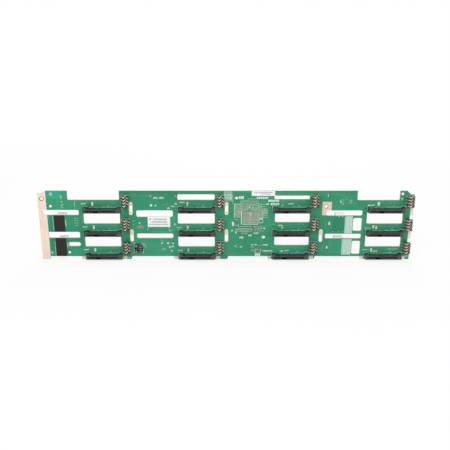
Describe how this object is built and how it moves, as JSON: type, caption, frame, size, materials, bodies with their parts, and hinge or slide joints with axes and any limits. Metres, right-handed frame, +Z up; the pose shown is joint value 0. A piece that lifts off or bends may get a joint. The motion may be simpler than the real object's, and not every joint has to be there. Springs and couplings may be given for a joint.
{
  "type": "drive backplane board",
  "caption": "Upright circuit board with rows of drive sockets, carrier contact blocks and air windows; power, data and heat sink behind.",
  "frame": {"origin": "midway between the two mounting holes, on the board's front face", "axes": "+X to the right along the board seen from the front, +Y out of the board's back, +Z up; the drives plug in from -Y"},
  "size_m": [0.4295, 0.0219, 0.0828],
  "materials": {
    "circuit_board": "green solder mask over glass-fibre laminate, satin gloss",
    "connector_plastic": "black moulded plastic",
    "header_plastic": "natural white moulded plastic",
    "gold_contact": "pale gold plated contact springs",
    "tinned_pin": "tin-plated pins",
    "chip_body": "black moulded chip package",
    "heat_sink_metal": "bare extruded aluminium",
    "push_pin_plastic": "white nylon",
    "insulating_pad": "matt black insulating sheet",
    "label_paper": "bare white label stock"
  },
  "bodies": {
    "root": {"board": "circuit_board", "drive_socket_r1c1": "connector_plastic", "drive_socket_contacts_r1c1": "gold_contact", "carrier_block_r1c1": "connector_plastic", "carrier_springs_r1c1": "gold_contact", "drive_socket_r1c2": "connector_plastic", "drive_socket_contacts_r1c2": "gold_contact", "carrier_block_r1c2": "connector_plastic", "carrier_springs_r1c2": "gold_contact", "drive_socket_r1c3": "connector_plastic", "drive_socket_contacts_r1c3": "gold_contact", "carrier_block_r1c3": "connector_plastic", "carrier_springs_r1c3": "gold_contact", "drive_socket_r1c4": "connector_plastic", "drive_socket_contacts_r1c4": "gold_contact", "carrier_block_r1c4": "connector_plastic", "carrier_springs_r1c4": "gold_contact", "drive_socket_r2c1": "connector_plastic", "drive_socket_contacts_r2c1": "gold_contact", "carrier_block_r2c1": "connector_plastic", "carrier_springs_r2c1": "gold_contact", "drive_socket_r2c2": "connector_plastic", "drive_socket_contacts_r2c2": "gold_contact", "carrier_block_r2c2": "connector_plastic", "carrier_springs_r2c2": "gold_contact", "drive_socket_r2c3": "connector_plastic", "drive_socket_contacts_r2c3": "gold_contact", "carrier_block_r2c3": "connector_plastic", "carrier_springs_r2c3": "gold_contact", "drive_socket_r2c4": "connector_plastic", "drive_socket_contacts_r2c4": "gold_contact", "carrier_block_r2c4": "connector_plastic", "carrier_springs_r2c4": "gold_contact", "drive_socket_r3c1": "connector_plastic", "drive_socket_contacts_r3c1": "gold_contact", "carrier_block_r3c1": "connector_plastic", "carrier_springs_r3c1": "gold_contact", "drive_socket_r3c2": "connector_plastic", "drive_socket_contacts_r3c2": "gold_contact", "carrier_block_r3c2": "connector_plastic", "carrier_springs_r3c2": "gold_contact", "drive_socket_r3c3": "connector_plastic", "drive_socket_contacts_r3c3": "gold_contact", "carrier_block_r3c3": "connector_plastic", "carrier_springs_r3c3": "gold_contact", "drive_socket_r3c4": "connector_plastic", "drive_socket_contacts_r3c4": "gold_contact", "carrier_block_r3c4": "connector_plastic", "carrier_springs_r3c4": "gold_contact", "power_header_upper": "header_plastic", "power_header_lower": "header_plastic", "power_header_pins": "tinned_pin", "data_receptacle_upper": "header_plastic", "data_receptacle_lower": "header_plastic", "expander_chip": "chip_body", "heat_sink": "heat_sink_metal", "heat_sink_pins": "push_pin_plastic", "insulating_pads": "insulating_pad", "labels": "label_paper", "power_switches": "chip_body"}
  },
  "joints": []
}
